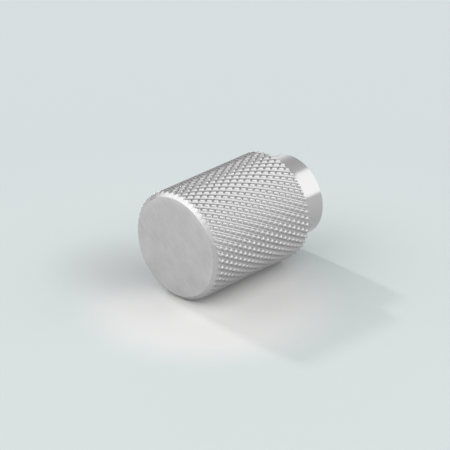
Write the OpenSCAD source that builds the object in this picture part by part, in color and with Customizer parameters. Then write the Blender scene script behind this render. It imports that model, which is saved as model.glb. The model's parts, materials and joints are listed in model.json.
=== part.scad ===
// Knurled knob for a drawer or a cupboard door, turned from one bar.
// It is drawn standing on its foot and then laid with its axis level, as it sits on a drawer front:
// the foot's back is in the XZ plane, the head points along -Y and +Z is up.

/* [Body] */
// Diameter over the flat tops of the knurl's diamonds
body_d = 20; // [17:0.5:24]
// Length of the knurled body, from the flat head to the shoulder above the foot
body_len = 23.5; // [14:0.5:30]
// Length of the chamfer round the flat head, measured along the axis
head_chamfer = 0.9; // [0.6:0.1:1.6]
// Angle between the chamfer and the axis
head_chamfer_angle = 45; // [35:1:55]

/* [Knurl] */
// Spacing of neighbouring grooves of one hand, measured square to them
knurl_pitch = 1.1; // [0.9:0.1:1.6]
// Angle between a groove and the axis
knurl_angle = 29; // [25:1:35]
// Depth of the grooves below the diamonds' flat tops
knurl_depth = 0.36; // [0.2:0.02:0.5]
// Width of the flat left on top of each diamond, measured square to its grooves
knurl_land = 0.5; // [0.1:0.05:0.5]
// How far the left-hand grooves rise between crossings, as they are rolled less deep
left_hand_rise = 0.16; // [0.04:0.02:0.18]

/* [Foot] */
// Diameter of the plain foot
foot_d = 15; // [9:0.5:16]
// Length of the foot, from the shoulder to its back
foot_len = 6.5; // [2:0.5:12]
// Edge break round the foot's back
foot_edge = 0.3; // [0.1:0.05:0.6]

/* [Screw hole] */
// Nominal diameter of the screw's thread
screw_d = 4; // [3:0.5:5]
// Pitch of the screw's thread
screw_pitch = 0.7; // [0.5:0.05:0.8]
// Depth of the drilled hole below the foot's back, down to the start of its point
hole_depth = 12; // [8:0.5:16]
// Width of the countersink's rim outside the thread
countersink_rim = 0.3; // [0.1:0.05:0.6]

/* [Hidden] */

// Included angle of a twist drill's point
drill_point_angle = 118;
// How far joined solids run into each other, and cutters past the face that they cut
overlap = 1;
// Sides used to draw a full circle
round_sides = 96;

body_r = body_d / 2;
foot_r = foot_d / 2;
head_r = body_r - head_chamfer * tan(head_chamfer_angle);
knob_len = foot_len + body_len;

// The two hands of groove cross on a lattice of rows, with one diamond and one crossing per groove in each.
groove_count = round(PI * body_d * cos(knurl_angle) / knurl_pitch);
groove_r = body_r - knurl_depth;
left_groove_r = groove_r + left_hand_rise;
// Radius of the diamonds' points before the bar cuts them flat
point_r = groove_r + knurl_depth * knurl_pitch / (knurl_pitch - knurl_land);
row_points = 2 * groove_count;
// Radius of the bar's edges, so that its flats touch the body's diameter
bar_edge_r = body_r / cos(180 / row_points);
row_step = PI * body_d / row_points / tan(knurl_angle);
row_count = ceil((body_len + 2 * overlap) / row_step);
lattice_size = (row_count + 1) * row_points;

hole_r = (screw_d - screw_pitch) / 2;
countersink_r = screw_d / 2 + countersink_rim;
countersink_depth = countersink_r - hole_r;
drill_point_len = hole_r / tan(drill_point_angle / 2);

// Diamonds and crossings take turns round a row and from row to row.
function is_diamond(row, place) = (row + place) % 2 == 0;

function lattice_point(row, place, r) =
    let (turn = 360 / row_points * place)
    [r * cos(turn), r * sin(turn), row * row_step];

function point_index(row, place) = row * row_points + place % row_points;

// The rise of a left-hand groove comes halfway between two rows, once for each diamond of the lower row.
function rise_index(row, place) = lattice_size + row * groove_count + floor(place / 2);

// A cell between two rows is split along the groove that joins its two crossings.
function knurl_cell(row, place) =
    let (a = point_index(row, place))
    let (b = point_index(row, place + 1))
    let (c = point_index(row + 1, place + 1))
    let (d = point_index(row + 1, place))
    let (m = rise_index(row, place))
    is_diamond(row, place)
        ? [[a, d, m], [a, m, b], [b, m, c], [m, d, c]]
        : [[a, c, b], [a, d, c]];

// Sleeve of four-sided points, longer than the body so that both its ends are cut clean.
module knurl_sleeve() {
    bottom_centre = lattice_size + row_count * groove_count;
    top_centre = bottom_centre + 1;
    points = [
        for (row = [0:row_count]) for (place = [0:row_points - 1])
            lattice_point(row, place, is_diamond(row, place) ? point_r : groove_r),
        for (row = [0:row_count - 1]) for (place = [0:row_points - 1])
            if (is_diamond(row, place)) lattice_point(row + 0.5, place + 0.5, left_groove_r),
        [0, 0, 0],
        [0, 0, row_count * row_step]
    ];
    faces = [
        for (row = [0:row_count - 1]) for (place = [0:row_points - 1]) each knurl_cell(row, place),
        for (place = [0:row_points - 1])
            [bottom_centre, point_index(0, place), point_index(0, place + 1)],
        for (place = [0:row_points - 1])
            [top_centre, point_index(row_count, place + 1), point_index(row_count, place)]
    ];
    translate([0, 0, foot_len - overlap]) polyhedron(points, faces, convexity = 4);
}

// Turned outline of the body: square shoulder, chamfered head, and clear of the knurl's tops.
module body_blank() {
    clear_r = body_r + overlap;
    chamfer_run = overlap / tan(head_chamfer_angle);
    rotate_extrude($fn = round_sides)
        polygon([
            [0, foot_len],
            [clear_r, foot_len],
            [clear_r, knob_len - head_chamfer - chamfer_run],
            [head_r, knob_len],
            [0, knob_len]
        ]);
}

// Bar with one flat for each place round the lattice, which leaves a true flat on top of every diamond.
module knurl_bar() {
    translate([0, 0, foot_len - overlap])
        linear_extrude(body_len + 2 * overlap)
            polygon([
                for (place = [0:row_points - 1])
                    let (turn = 360 / row_points * (place + 0.5))
                    [bar_edge_r * cos(turn), bar_edge_r * sin(turn)]
            ]);
}

module body() {
    intersection() {
        body_blank();
        knurl_bar();
        knurl_sleeve();
    }
}

// Plain foot with its back edge broken, run into the body so that they are one solid.
module foot() {
    rotate_extrude($fn = round_sides)
        polygon([
            [0, 0],
            [foot_r - foot_edge, 0],
            [foot_r, foot_edge],
            [foot_r, foot_len + overlap],
            [0, foot_len + overlap]
        ]);
}

// Blind hole for the fixing screw: countersunk mouth, tapping-size bore and drill point.
module screw_hole() {
    $fn = round_sides;
    translate([0, 0, -overlap])
        cylinder(h = overlap + countersink_depth, r1 = countersink_r + overlap, r2 = hole_r);
    cylinder(h = hole_depth, r = hole_r);
    translate([0, 0, hole_depth]) cylinder(h = drill_point_len, r1 = hole_r, r2 = 0);
}

module knob() {
    color("silver")
        rotate([90, 0, 0])
            difference() {
                union() {
                    body();
                    foot();
                }
                screw_hole();
            }
}

knob();
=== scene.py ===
"""A turned steel knob with a diamond knurl, on a pale floor under soft studio light."""

import json
import math

import bmesh
import bpy
import numpy as np
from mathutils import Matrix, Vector


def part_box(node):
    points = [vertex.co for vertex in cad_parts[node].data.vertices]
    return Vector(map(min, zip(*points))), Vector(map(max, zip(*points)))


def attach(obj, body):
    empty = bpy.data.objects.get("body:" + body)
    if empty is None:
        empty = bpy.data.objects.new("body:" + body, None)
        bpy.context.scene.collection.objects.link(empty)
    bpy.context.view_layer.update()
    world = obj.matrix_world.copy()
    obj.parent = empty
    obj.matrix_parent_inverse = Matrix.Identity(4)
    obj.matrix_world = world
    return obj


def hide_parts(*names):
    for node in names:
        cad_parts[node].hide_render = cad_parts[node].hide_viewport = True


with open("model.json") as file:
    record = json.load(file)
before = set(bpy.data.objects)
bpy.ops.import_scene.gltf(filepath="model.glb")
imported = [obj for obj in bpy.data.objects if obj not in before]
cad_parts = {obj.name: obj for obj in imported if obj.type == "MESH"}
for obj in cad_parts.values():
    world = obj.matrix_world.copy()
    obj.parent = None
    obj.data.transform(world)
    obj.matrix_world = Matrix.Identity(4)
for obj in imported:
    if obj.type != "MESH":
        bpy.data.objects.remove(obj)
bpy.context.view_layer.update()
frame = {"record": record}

# ---------------------------------------------------------------- sizes, in metres
MM = 0.001
lowest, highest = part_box("knob")

BODY_R = highest.x
KNOB_LEN = highest.y - lowest.y
FLOOR_Z = lowest.z
KNOB_MIDDLE = Vector((0, -KNOB_LEN / 2, 0))

# The knob's axis is Y. Depth is measured from the foot's back, at Y = 0, towards the head.
FOOT_LEN = 6.5 * MM
FOOT_R = 7.5 * MM
FOOT_EDGE = 0.3 * MM
SHOULDER_FILLET = 0.25 * MM
FILLET_STEPS = 3

# The bar was turned to the blank's radius before the roll raised the diamonds above it,
# so they rise from it over a short run beside the chamfer.
HEAD_CHAMFER = 0.85 * MM
HEAD_R = BODY_R - HEAD_CHAMFER
BLANK_R = BODY_R - 0.26 * MM
CHAMFER_END = KNOB_LEN - (BLANK_R - HEAD_R)
RUN_UP = 0.15 * MM
# The head's rim is rounded over this length on each side of its corner, and the middle of the
# round lies below the face by a share of it.
RIM_ROUND = 0.06 * MM
RIM_SAG = 0.3
# Rings on the flat head, as shares of its radius, and on the way from the chamfer to the knurl
FACE_RINGS = (0.15, 0.5, 0.85)
LEAD_RINGS = (0.25, 0.5, 0.75)

# Grooves of both hands cross on a lattice: places round the knob, and rows along it.
GROOVES = 50
KNURL_ANGLE = math.radians(29)
KNURL_DEPTH = 0.30 * MM
LATTICE_START = FOOT_LEN - 1 * MM
PLACES = 2 * GROOVES
PLACE_TURN = 2 * math.pi / PLACES
ROW_STEP = math.pi * BODY_R / GROOVES / math.tan(KNURL_ANGLE)

# Section of the deep, right-hand grooves, from a groove's middle at 0 to a pad's middle at 1:
# half the width of its flat floor, the rounding beside that, and half the width of the pad's land.
DEEP_FLOOR = 0.10
DEEP_ROUND = 0.25
DEEP_LAND = 0.40
# The left-hand grooves are narrow and have no flat floor. They are rolled less deep, by a share
# of the depth, so the pads run together a little along the deep grooves.
SHALLOW_FLOOR = 0.0
SHALLOW_ROUND = 0.10
SHALLOW_LAND = 0.75
SHALLOW_RISE = 0.10
# Softness of the edges round the lands, and of the corners where the flanks of both hands meet
LAND_SOFTNESS = 0.15
CORNER_SOFTNESS = 0.20

# Metric thread; its flat crest and its sloping flank are shares of half the pitch
THREAD_R = 2.0 * MM
THREAD_PITCH = 0.7 * MM
THREAD_LEN = 10.2 * MM
THREAD_CREST = 0.125
THREAD_FLANK = 0.625
COUNTERSINK_RIM = 0.3 * MM
HOLE_DEPTH = 12 * MM
DRILL_POINT_ANGLE = math.radians(118)
screw_hole = next(mount for mount in frame["record"]["mounts"] if mount["name"] == "screw_hole")
HOLE_R = screw_hole["dims"]["r_mm"] * MM

# How finely each lattice cell of the knurl, the plain parts and the thread are divided, and
# how many tries find where the chamfer meets the knurl
CELL_SPLIT = 6
KNURL_COLUMNS = PLACES * CELL_SPLIT
FOOT_COLUMNS = 200
HOLE_COLUMNS = 64
RINGS_PER_THREAD = 8
CHAMFER_TRIES = 20

# The knob's finishes, in the order of its material slots
FACE, KNURL, TURNED, THREAD = range(4)
# Edges outside the knurl that bend by more than this are shown sharp.
SHARP_ANGLE = math.radians(32)


# ---------------------------------------------------------------- the knob's surface
def ring_turns(columns):
    return np.arange(columns) * (2 * math.pi / columns)


class TurnedSkin:
    """A closed surface, made ring by ring from the middle of the head to the bottom of the hole."""

    def __init__(self):
        self.points = []
        self.faces = []
        self.finishes = []

    def ring(self, columns, radius, depth):
        """Adds a ring round the axis; its radius and depth are each a number or one value per column."""
        turn = ring_turns(columns)
        radius = np.broadcast_to(radius, columns)
        depth = np.broadcast_to(depth, columns)
        first = len(self.points)
        self.points.extend(zip(radius * np.cos(turn), -depth, radius * np.sin(turn)))
        return range(first, first + columns)

    def point(self, depth):
        """Adds a point on the axis."""
        self.points.append((0.0, -depth, 0.0))
        return len(self.points) - 1

    def face(self, corners, finish):
        self.faces.append(corners)
        self.finishes.append(finish)

    def band(self, near, far, finish):
        """Joins two rings of as many points; each four-sided patch is split along its shorter diagonal."""
        for column in range(len(near)):
            after = (column + 1) % len(near)
            a, b, c, d = near[column], near[after], far[after], far[column]
            if math.dist(self.points[a], self.points[c]) <= math.dist(self.points[b], self.points[d]):
                self.face((a, c, b), finish)
                self.face((a, d, c), finish)
            else:
                self.face((a, d, b), finish)
                self.face((b, d, c), finish)

    def quads(self, near, far, finish):
        """Joins two rings of as many points with four-sided faces."""
        for column in range(len(near)):
            after = (column + 1) % len(near)
            self.face((near[column], far[column], far[after], near[after]), finish)

    def stitch(self, near, far, finish):
        """Joins two rings of unlike counts with triangles."""
        i = j = 0
        while i < len(near) or j < len(far):
            here, there = near[i % len(near)], far[j % len(far)]
            if j >= len(far) or (i < len(near) and (i + 1) / len(near) <= (j + 1) / len(far)):
                self.face((here, there, near[(i + 1) % len(near)]), finish)
                i += 1
            else:
                self.face((here, there, far[(j + 1) % len(far)]), finish)
                j += 1

    def fan(self, ring, centre, finish):
        """Closes a ring with triangles; it runs anticlockwise as seen from outside."""
        for column in range(len(ring)):
            self.face((ring[column], ring[(column + 1) % len(ring)], centre), finish)


def soft_lower(a, b, width):
    """The lower of two heights, blended where they meet."""
    return 0.5 * (a + b - np.sqrt((a - b) ** 2 + width ** 2))


def groove_rise(lattice, floor, rounding, land):
    """Height over a groove's floor; the lattice number is odd in a groove and even between two."""
    offset = np.maximum(np.abs(lattice % 2 - 1) - floor, 0)
    return (np.sqrt(offset ** 2 + rounding ** 2) - rounding) / (1 - land - floor)


def pad_height(place, row):
    """Height of the knurl at a place round the lattice and a row along it."""
    deep = groove_rise(place - row, DEEP_FLOOR, DEEP_ROUND, DEEP_LAND)
    shallow = groove_rise(place + row, SHALLOW_FLOOR, SHALLOW_ROUND, SHALLOW_LAND) + SHALLOW_RISE
    return soft_lower(soft_lower(deep, 1.0, LAND_SOFTNESS),
                      soft_lower(shallow, 1.0, LAND_SOFTNESS), CORNER_SOFTNESS)


PAD_TOP = pad_height(0.0, 0.0)
CROSSING_BOTTOM = pad_height(1.0, 0.0)


def knurl_radius(turn, depth):
    """Radius of the knurled surface at an angle round the axis and a depth from the foot's back."""
    height = pad_height(turn / PLACE_TURN, (depth - LATTICE_START) / ROW_STEP)
    rolled = BODY_R - KNURL_DEPTH * (PAD_TOP - height) / (PAD_TOP - CROSSING_BOTTOM)
    raised = BLANK_R + (BODY_R - BLANK_R) * (CHAMFER_END - depth) / RUN_UP
    return np.minimum(rolled, np.maximum(raised, BLANK_R))


def hole_radius(turn, depth):
    """Radius of the tapped hole's wall: a right-hand thread, cut back by the countersink."""
    phase = (depth / THREAD_PITCH - turn / (2 * math.pi)) % 1
    flank = np.abs(phase - 0.5) * 2
    height = np.clip((flank - THREAD_CREST) / THREAD_FLANK, 0, 1)
    fade = np.clip((THREAD_LEN - depth) / THREAD_PITCH, 0, 1)
    wall = HOLE_R + (THREAD_R - HOLE_R) * height * fade
    return np.maximum(wall, THREAD_R + COUNTERSINK_RIM - depth)


def make_head(skin):
    """Flat face with a rounded rim. Returns the rim's outer ring."""
    centre = skin.point(KNOB_LEN)
    inner = skin.ring(HOLE_COLUMNS, HEAD_R * FACE_RINGS[0], KNOB_LEN)
    middle = skin.ring(HOLE_COLUMNS, HEAD_R * FACE_RINGS[1], KNOB_LEN)
    outer = skin.ring(FOOT_COLUMNS, HEAD_R * FACE_RINGS[2], KNOB_LEN)
    rim = skin.ring(KNURL_COLUMNS, HEAD_R - RIM_ROUND, KNOB_LEN)
    skin.fan(inner, centre, FACE)
    skin.quads(inner, middle, FACE)
    skin.stitch(middle, outer, FACE)
    skin.stitch(outer, rim, FACE)

    down_chamfer = RIM_ROUND * math.sqrt(0.5)
    rim_middle = skin.ring(KNURL_COLUMNS, HEAD_R, KNOB_LEN - RIM_ROUND * RIM_SAG)
    rim_outside = skin.ring(KNURL_COLUMNS, HEAD_R + down_chamfer, KNOB_LEN - down_chamfer)
    skin.band(rim, rim_middle, TURNED)
    skin.band(rim_middle, rim_outside, TURNED)
    return rim_outside


def make_grip(skin, rim):
    """Chamfer and knurl, down to the shoulder. Returns the shoulder's outer ring."""
    turn = ring_turns(KNURL_COLUMNS)

    # The chamfer runs outwards as far as it runs along the axis, until it meets the knurl.
    reach = np.full(KNURL_COLUMNS, BLANK_R - HEAD_R)
    for _ in range(CHAMFER_TRIES):
        reach = knurl_radius(turn, KNOB_LEN - reach) - HEAD_R
    near = skin.ring(KNURL_COLUMNS, HEAD_R + reach, KNOB_LEN - reach)
    skin.band(rim, near, TURNED)

    # A few rings lead from the chamfer's notched edge to the first one that lies level, which is
    # at least half a step clear of the chamfer, as the last one is of the shoulder.
    ring_step = ROW_STEP / CELL_SPLIT
    first = math.floor((CHAMFER_END - LATTICE_START) / ring_step - 0.5)
    last = math.ceil((FOOT_LEN - LATTICE_START) / ring_step + 0.5)
    level_depth = LATTICE_START + first * ring_step
    depths = [(KNOB_LEN - reach) * (1 - share) + level_depth * share for share in LEAD_RINGS]
    depths += [LATTICE_START + count * ring_step for count in range(first, last - 1, -1)]
    depths.append(FOOT_LEN)
    for depth in depths:
        far = skin.ring(KNURL_COLUMNS, knurl_radius(turn, depth), depth)
        skin.band(near, far, KNURL)
        near = far
    return near


def make_foot(skin, shoulder):
    """Shoulder, fillet, plain foot and its flat back, up to the hole's mouth, whose ring it returns."""
    profile = [(FOOT_R + SHOULDER_FILLET, FOOT_LEN)]
    for step in range(1, FILLET_STEPS + 1):
        angle = math.pi / 2 * step / FILLET_STEPS
        profile.append((FOOT_R + SHOULDER_FILLET * (1 - math.sin(angle)),
                        FOOT_LEN - SHOULDER_FILLET * (1 - math.cos(angle))))
    profile += [(FOOT_R, FOOT_LEN / 2), (FOOT_R, FOOT_EDGE), (FOOT_R - FOOT_EDGE, 0)]
    near = skin.ring(FOOT_COLUMNS, *profile[0])
    skin.stitch(shoulder, near, TURNED)
    for spot in profile[1:]:
        far = skin.ring(FOOT_COLUMNS, *spot)
        skin.quads(near, far, TURNED)
        near = far
    mouth = skin.ring(HOLE_COLUMNS, THREAD_R + COUNTERSINK_RIM, 0)
    skin.stitch(near, mouth, TURNED)
    return mouth


def make_screw_hole(skin, mouth):
    """Countersink, thread, bore and drill point."""
    turn = ring_turns(HOLE_COLUMNS)
    step = THREAD_PITCH / RINGS_PER_THREAD
    near = mouth
    for count in range(1, math.ceil(HOLE_DEPTH / step)):
        depth = count * step
        far = skin.ring(HOLE_COLUMNS, hole_radius(turn, depth), depth)
        skin.quads(near, far, THREAD)
        near = far
    bottom = skin.ring(HOLE_COLUMNS, HOLE_R, HOLE_DEPTH)
    skin.quads(near, bottom, THREAD)
    tip = skin.point(HOLE_DEPTH + HOLE_R / math.tan(DRILL_POINT_ANGLE / 2))
    skin.fan(bottom[::-1], tip, THREAD)


def soften_knurl(mesh):
    """Marks the sharp edges outside the knurl, and leaves the knurl's own shape smooth."""
    shape = bmesh.new()
    shape.from_mesh(mesh)
    for edge in shape.edges:
        inside_knurl = all(face.material_index == KNURL for face in edge.link_faces)
        edge.smooth = inside_knurl or edge.calc_face_angle(0) < SHARP_ANGLE
    shape.to_mesh(mesh)
    shape.free()
    mesh.update()


# ---------------------------------------------------------------- shader maths
class Value:
    """A number that varies over a surface, so that shader maths reads as arithmetic."""

    def __init__(self, shader, socket):
        self.shader = shader
        self.socket = socket

    def math(self, operation, *terms):
        return self.shader.node("ShaderNodeMath", {"operation": operation}, dict(enumerate(terms)))

    def __add__(self, other):
        return self.math("ADD", self, other)

    def __sub__(self, other):
        return self.math("SUBTRACT", self, other)

    def __rsub__(self, other):
        return self.math("SUBTRACT", other, self)

    def __mul__(self, other):
        return self.math("MULTIPLY", self, other)

    __radd__ = __add__
    __rmul__ = __mul__


class Shader:
    """The node tree of one finish, or of the studio's world."""

    def __init__(self, name, world=None):
        self.owner = world or bpy.data.materials.new(name)
        self.owner.use_nodes = True
        self.tree = self.owner.node_tree
        self.tree.nodes.clear()

    def node(self, kind, settings=None, inputs=None, output=0):
        """Adds a node with its settings and its inputs, and gives one of its outputs as a value."""
        made = self.tree.nodes.new(kind)
        for name, setting in (settings or {}).items():
            setattr(made, name, setting)
        for name, value in (inputs or {}).items():
            if isinstance(value, Value):
                self.tree.links.new(value.socket, made.inputs[name])
            else:
                made.inputs[name].default_value = value
        return Value(self, made.outputs[output]) if made.outputs else None


def position(shader):
    """The place on the piece, in metres."""
    return shader.node("ShaderNodeTexCoord", output="Object")


def along_axes(shader):
    """The three coordinates of the place on the piece; the knob's axis is the second."""
    spot = {"Vector": position(shader)}
    return [shader.node("ShaderNodeSeparateXYZ", None, spot, output=axis) for axis in "XYZ"]


def joined(shader, x, y, z):
    return shader.node("ShaderNodeCombineXYZ", None, {"X": x, "Y": y, "Z": z})


def square_root(value):
    return value.math("SQRT", value)


def from_axis(x, z):
    """Distance from the knob's axis."""
    return square_root(x * x + z * z)


def noise(shader, where, scale, detail=3.0, roughness=0.55):
    """Noise from 0 to 1, with a mean of a half; its scale is in features per metre of position."""
    return shader.node("ShaderNodeTexNoise", None,
                       {"Vector": where, "Scale": scale, "Detail": detail, "Roughness": roughness})


def ramp(shader, value, low, high, at_low=0.0, at_high=1.0):
    """Goes from one level to another as a value goes from low to high, and stays level outside them."""
    return shader.node("ShaderNodeMapRange", {"interpolation_type": "SMOOTHSTEP"},
                       {"Value": value, "From Min": low, "From Max": high,
                        "To Min": at_low, "To Max": at_high})


def mix_colour(shader, share, one, other):
    """From the one colour, at a share of 0, to the other, at 1."""
    return shader.node("ShaderNodeMix", {"data_type": "RGBA"},
                       {"Factor": share, "A": one, "B": other}, output="Result")


# ---------------------------------------------------------------- finishes
# Mean brightness of the steel on each part, and how much brighter the knurl's tops are than its
# grooves: partly wear and dirt, partly painted shade in the grooves
FACE_STEEL = 0.575
TURNED_STEEL = 0.52
GROOVE_STEEL = 0.47
WEAR_AND_SHADE_GAIN = 0.08
THREAD_STEEL = 0.44


def steel(shader, brightness, roughness, relief, relief_depth):
    """Bare steel: its brightness, roughness and fine relief, which is given from 0 to 1."""
    bump = shader.node("ShaderNodeBump", None,
                       {"Height": relief, "Strength": 1.0, "Distance": relief_depth})
    bsdf = shader.node("ShaderNodeBsdfPrincipled", None,
                       {"Base Color": joined(shader, brightness, brightness, brightness),
                        "Metallic": 1.0, "Roughness": roughness, "Normal": bump})
    shader.node("ShaderNodeOutputMaterial", None, {"Surface": bsdf})
    return shader.owner


def brushed_face():
    """The flat head, brushed on a slant, with a faint cloudiness and a painted sheen that makes the rim
    slightly brighter.
    """
    shader = Shader("brushed_face")
    x, y, z = along_axes(shader)
    along_stroke = 260.0
    across_strokes = 2200.0
    stretched = joined(shader, (x - z) * along_stroke, y, (x + z) * across_strokes)
    scratches = noise(shader, stretched, 1.0, detail=4.0, roughness=0.7)
    clouds = noise(shader, position(shader), 260.0)
    # Painted sheen: the colour grows slightly brighter towards the rim.
    rim = ramp(shader, from_axis(x, z), HEAD_R - 1.4 * MM, HEAD_R, at_high=0.02)
    brightness = (scratches - 0.5) * 0.24 + (clouds - 0.5) * 0.16 + rim + FACE_STEEL
    roughness = (scratches - 0.5) * 0.15 + 0.40
    return steel(shader, brightness, roughness, scratches, 0.0006 * MM)


def knurled_steel():
    """The rolled diamonds: smooth on their tops, rougher and darker in the grooves, partly from wear and
    dirt and partly painted shade.
    """
    shader = Shader("knurled_steel")
    x, _, z = along_axes(shader)
    # Painted shade, with wear and dirt: the knurl's grooves are darker and rougher than its tops.
    wear_and_groove_shade = ramp(shader, from_axis(x, z), BODY_R - 0.32 * MM, BODY_R - 0.04 * MM)
    grain = noise(shader, position(shader), 4000.0)
    brightness = wear_and_groove_shade * WEAR_AND_SHADE_GAIN + (grain - 0.5) * 0.08 + GROOVE_STEEL
    roughness = (1 - wear_and_groove_shade) * 0.12 + (grain - 0.5) * 0.04 + 0.13
    return steel(shader, brightness, roughness, grain, 0.002 * MM)


def turned_steel():
    """Plain turned parts, with the tool's fine rings round the axis."""
    shader = Shader("turned_steel")
    x, y, z = along_axes(shader)
    per_metre = 5200.0
    across_rings = joined(shader, y * per_metre, from_axis(x, z) * per_metre, 0.0)
    rings = noise(shader, across_rings, 1.0, roughness=0.6)
    smears = noise(shader, position(shader), 220.0)
    brightness = (rings - 0.5) * 0.05 + (smears - 0.5) * 0.03 + TURNED_STEEL
    roughness = (rings - 0.5) * 0.06 + (smears - 0.5) * 0.04 + 0.17
    return steel(shader, brightness, roughness, rings, 0.0008 * MM)


def thread_steel():
    """The tapped hole, in darker steel with faint blotchy stains."""
    shader = Shader("thread_steel")
    stain = noise(shader, position(shader), 900.0)
    brightness = (stain - 0.5) * 0.15 + THREAD_STEEL
    roughness = (stain - 0.5) * 0.2 + 0.34
    return steel(shader, brightness, roughness, stain, 0.004 * MM)


# ---------------------------------------------------------------- the knob
def add_object(name, data):
    """Puts a mesh, a lamp or a camera in the scene."""
    made = bpy.data.objects.new(name, data)
    bpy.context.scene.collection.objects.link(made)
    return made


def build_knob():
    """The whole knob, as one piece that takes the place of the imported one."""
    skin = TurnedSkin()
    rim = make_head(skin)
    shoulder = make_grip(skin, rim)
    mouth = make_foot(skin, shoulder)
    make_screw_hole(skin, mouth)

    mesh = bpy.data.meshes.new("turned_knob")
    mesh.from_pydata([tuple(p) for p in skin.points], [], skin.faces)
    for material in (brushed_face(), knurled_steel(), turned_steel(), thread_steel()):
        mesh.materials.append(material)
    mesh.polygons.foreach_set("material_index", skin.finishes)
    mesh.polygons.foreach_set("use_smooth", [True] * len(mesh.polygons))
    mesh.validate()
    soften_knurl(mesh)

    knob = add_object("turned_knob", mesh)
    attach(knob, "root")
    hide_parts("knob")


# ---------------------------------------------------------------- floor and light
# Half the width of the square floor
FLOOR_HALF = 3.0
# Light and reflections meet a plain grey floor. The camera sees it cool, more so far off, and a
# little lighter towards the middle as a painted falloff of the light. It also sees a brighter neutral
# patch in front of the head, a painted pool of light thrown off the head; painted light along the
# line of contact, lifting the knob's shadow; and a painted shadow left of the head. Past the floor
# it sees a plain backdrop.
FLOOR_GREY = (0.69, 0.69, 0.69, 1)
FAR_TINT = (0.573, 0.621, 0.632, 1)
NEAR_TINT = (0.594, 0.650, 0.646, 1)
NEUTRAL_PAINTED_LIGHT_TINT = (0.705, 0.705, 0.702, 1)
CONTACT_PAINTED_LIGHT_TINT = (0.82, 0.82, 0.815, 1)
PAINTED_SHADOW_TINT = (0.535, 0.560, 0.566, 1)
BACKDROP = (0.68, 0.73, 0.745, 1)


def tinted(shader, base, tint, spot, middle, inner, outer):
    """Gives the floor a tint round a place, whole up to one distance and gone at another."""
    distance = shader.node("ShaderNodeVectorMath", {"operation": "DISTANCE"},
                           {0: spot, 1: (*middle, FLOOR_Z)}, output="Value")
    return mix_colour(shader, ramp(shader, distance, inner, outer), tint, base)


def pale_floor():
    """A matt floor, with tints that only the camera sees, among them painted light and a painted shadow.
    """
    shader = Shader("pale_floor")
    spot = position(shader)
    x, y, z = along_axes(shader)
    along_knob = joined(shader, x * 2, y, z)
    # Painted falloff of the light: the floor is a little lighter towards the middle than far off.
    shown = tinted(shader, FAR_TINT, NEAR_TINT, spot, middle=(27 * MM, -46 * MM),
                   inner=65 * MM, outer=100 * MM)
    # Painted light: a brighter neutral patch in front of the head, a pool of light thrown off the head.
    shown = tinted(shader, shown, NEUTRAL_PAINTED_LIGHT_TINT, spot, middle=(5.1 * MM, -27.3 * MM),
                   inner=14 * MM, outer=26 * MM)
    # Painted light: the floor is lighter along the line of contact, lifting the knob's shadow there.
    shown = tinted(shader, shown, CONTACT_PAINTED_LIGHT_TINT, along_knob, middle=(11 * MM, -20 * MM),
                   inner=4 * MM, outer=18 * MM)
    # Painted shadow: a soft darker spot on the floor left of the head.
    shown = tinted(shader, shown, PAINTED_SHADOW_TINT, spot, middle=(-15.7 * MM, -28.4 * MM),
                   inner=2 * MM, outer=16 * MM)
    seen = shader.node("ShaderNodeLightPath", output="Is Camera Ray")
    colour = mix_colour(shader, seen, FLOOR_GREY, shown)
    bsdf = shader.node("ShaderNodeBsdfPrincipled", None,
                       {"Base Color": colour, "Roughness": 0.9, "Specular IOR Level": 0.1})
    shader.node("ShaderNodeOutputMaterial", None, {"Surface": bsdf})
    return shader.owner


def build_floor():
    mesh = bpy.data.meshes.new("floor")
    corners = [(-1, -1), (1, -1), (1, 1), (-1, 1)]
    points = [(FLOOR_HALF * x, FLOOR_HALF * y, FLOOR_Z) for x, y in corners]
    mesh.from_pydata(points, [], [(0, 1, 2, 3)])
    mesh.materials.append(pale_floor())
    floor = add_object("floor", mesh)


def direction(azimuth, elevation):
    """Unit vector for angles in degrees: azimuth from +X towards +Y, elevation up from the floor."""
    a, e = math.radians(azimuth), math.radians(elevation)
    return Vector((math.cos(a) * math.cos(e), math.sin(a) * math.cos(e), math.sin(e)))


def place_facing(thing, target, way, distance):
    """Puts a lamp or a camera at a distance from a target, in one direction from it, facing it."""
    thing.location = target + way * distance
    thing.rotation_euler = way.to_track_quat("Z", "Y").to_euler()


def build_lamp(name, azimuth, elevation, distance, width, height, power):
    """A rectangular lamp that faces the knob, with its power in watts."""
    data = bpy.data.lights.new(name, "AREA")
    data.shape = "RECTANGLE"
    data.size = width
    data.size_y = height
    data.energy = power
    lamp = add_object(name, data)
    lamp.visible_camera = False
    place_facing(lamp, KNOB_MIDDLE, direction(azimuth, elevation), distance)


def glow(shader, way, azimuth, elevation, inner, outer, level):
    """A round patch of light, level up to one angle from its middle and fading out at another."""
    facing = shader.node("ShaderNodeVectorMath", {"operation": "DOT_PRODUCT"},
                         {0: way, 1: direction(azimuth, elevation)}, output="Value")
    angle = facing.math("ARCCOSINE", facing)
    return ramp(shader, angle, math.radians(inner), math.radians(outer), level, 0.0)


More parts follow.
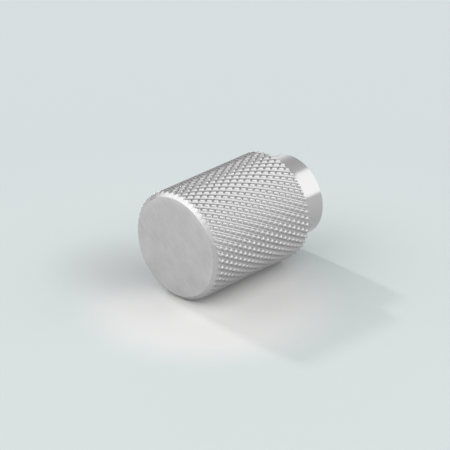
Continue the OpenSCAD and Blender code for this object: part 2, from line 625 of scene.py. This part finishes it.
def build_world():
    """A studio that grows lighter upwards, with soft white sheets and two darker gaps."""
    world = bpy.data.worlds.new("studio")
    bpy.context.scene.world = world
    shader = Shader("studio", world)
    way = shader.node("ShaderNodeTexCoord", output="Generated")
    up = shader.node("ShaderNodeSeparateXYZ", None, {"Vector": way}, output="Z")
    at_horizon = 0.406
    level = up * at_horizon + at_horizon
    level = level + glow(shader, way, azimuth=-126, elevation=25, inner=16.5, outer=64.5, level=1.20)
    level = level + glow(shader, way, azimuth=139, elevation=0, inner=0, outer=39, level=0.75)
    level = level + glow(shader, way, azimuth=-18, elevation=0, inner=0, outer=118, level=0.74)
    level = level + glow(shader, way, azimuth=76, elevation=79.5, inner=0, outer=14, level=1.17)
    level = level - glow(shader, way, azimuth=-170, elevation=68, inner=0, outer=50, level=0.74)
    level = level - glow(shader, way, azimuth=-3, elevation=40, inner=0, outer=52, level=0.62)
    darkest = 0.03
    level = level.math("MAXIMUM", level, darkest)
    lit = shader.node("ShaderNodeBackground", None, {"Color": (1, 1, 1, 1), "Strength": level})
    backdrop = shader.node("ShaderNodeBackground", None, {"Color": BACKDROP, "Strength": 1.0})
    camera_ray = shader.node("ShaderNodeLightPath", output="Is Camera Ray")
    both = shader.node("ShaderNodeMixShader", None, {0: camera_ray, 1: lit, 2: backdrop})
    shader.node("ShaderNodeOutputWorld", None, {"Surface": both})


def build_camera():
    """A long lens in front of the head, on its +X side and above it."""
    data = bpy.data.cameras.new("camera")
    data.lens = 229.2
    data.sensor_width = 36
    camera = add_object("camera", data)
    target = Vector((-2.48, -15.0, -1.821)) * MM
    place_facing(camera, target, direction(azimuth=-46.122, elevation=26.001), 507.1 * MM)
    bpy.context.scene.camera = camera


build_knob()
build_floor()
build_lamp("side_lamp", azimuth=175, elevation=34, distance=3.0, width=0.22, height=0.22, power=20.0)
build_lamp("white_panel", azimuth=38, elevation=36, distance=3.0, width=3.46, height=3.39, power=32.8)
build_world()
build_camera()
bpy.context.scene.view_settings.view_transform = "Standard"
